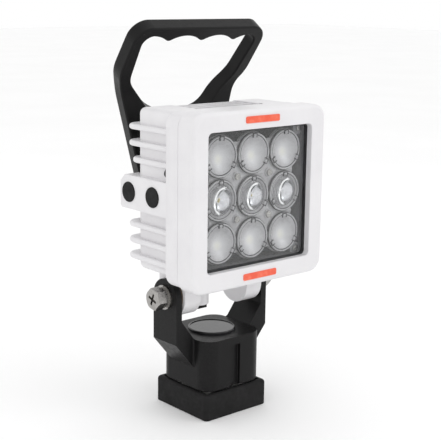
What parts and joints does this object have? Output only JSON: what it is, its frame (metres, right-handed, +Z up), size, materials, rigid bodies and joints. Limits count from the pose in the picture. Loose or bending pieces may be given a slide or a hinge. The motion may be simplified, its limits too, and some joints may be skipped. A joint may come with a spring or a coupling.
{
  "type": "work light",
  "caption": "Square LED work light with a carry handle, tilting in a yoke that swivels on a square magnet base.",
  "frame": {"origin": "centre of the magnet base's bottom face", "axes": "+Z up, the light faces -Y, +X to the right seen from the front"},
  "size_m": [0.1106, 0.092, 0.2556],
  "materials": {
    "bare_aluminium": "milled",
    "black_board": "black solder mask",
    "black_gloss": "polished",
    "black_nylon": "moulded glass-filled nylon, fine grain",
    "boot_rubber": "matt moulded rubber",
    "brass": "turned",
    "clear_glass": "toughened glass",
    "clear_optic": "clear acrylic",
    "dark_frame": "moulded",
    "electronics_dark": "moulded parts",
    "ferrite": "sintered ferrite",
    "fibre": "pressed friction fibre",
    "green_board": "solder mask",
    "grey_carrier": "moulded",
    "led_phosphor": "silicone phosphor",
    "milky_optic": "frosted acrylic",
    "plug_rubber": "matt",
    "red_plate": "printed plate",
    "screw_black": "black oxide",
    "seal_rubber": "matt",
    "stainless": "stainless steel, satin",
    "white_coat": "white powder coat",
    "zinc_steel": "zinc plated steel"
  },
  "bodies": {
    "base": {"rubber_boot": "boot_rubber", "magnet_pot": "zinc_steel", "magnets": "ferrite", "swivel_bolt": "zinc_steel", "friction_disc": "fibre", "swivel_washer": "stainless", "disc_spring": "stainless", "swivel_nut": "stainless"},
    "yoke": {"thrust_plate": "stainless", "yoke": "black_nylon", "top_cap": "black_gloss"},
    "head": {"badge_bottom": "red_plate", "badge_top": "red_plate", "bezel": "white_coat", "bezel_screws": "screw_black", "board_standoffs": "brass", "breather_vent": "black_nylon", "cable_gland": "black_nylon", "carrier_screws": "stainless", "driver_board": "green_board", "driver_parts": "electronics_dark", "flat_washers": "stainless", "flood_optic_1": "milky_optic", "flood_optic_2": "milky_optic", "flood_optic_3": "milky_optic", "flood_optic_4": "milky_optic", "flood_optic_5": "milky_optic", "flood_optic_6": "milky_optic", "frame_screws": "stainless", "friction_washers": "fibre", "handle": "black_nylon", "handle_screws": "screw_black", "heat_plate": "bare_aluminium", "housing": "white_coat", "housing_seal": "seal_rubber", "led_board": "black_board", "led_emitters": "led_phosphor", "optic_carrier": "grey_carrier", "pivot_bolts": "stainless", "side_plugs": "plug_rubber", "spot_optic_1": "clear_optic", "spot_optic_2": "clear_optic", "spot_optic_3": "clear_optic", "spring_washers": "stainless", "window_frame": "dark_frame", "window_gasket": "seal_rubber", "window_glass": "clear_glass"}
  },
  "joints": [
    {"name": "base_swivel", "type": "hinge", "parent": "base", "child": "yoke", "pos_m": [0, 0, 0.0186], "axis": [0, 0, 1], "continuous": true},
    {"name": "head_tilt", "type": "hinge", "parent": "yoke", "child": "head", "pos_m": [0, 0.001, 0.0805], "axis": [1, 0, 0], "range_deg": [-90, 60]}
  ]
}
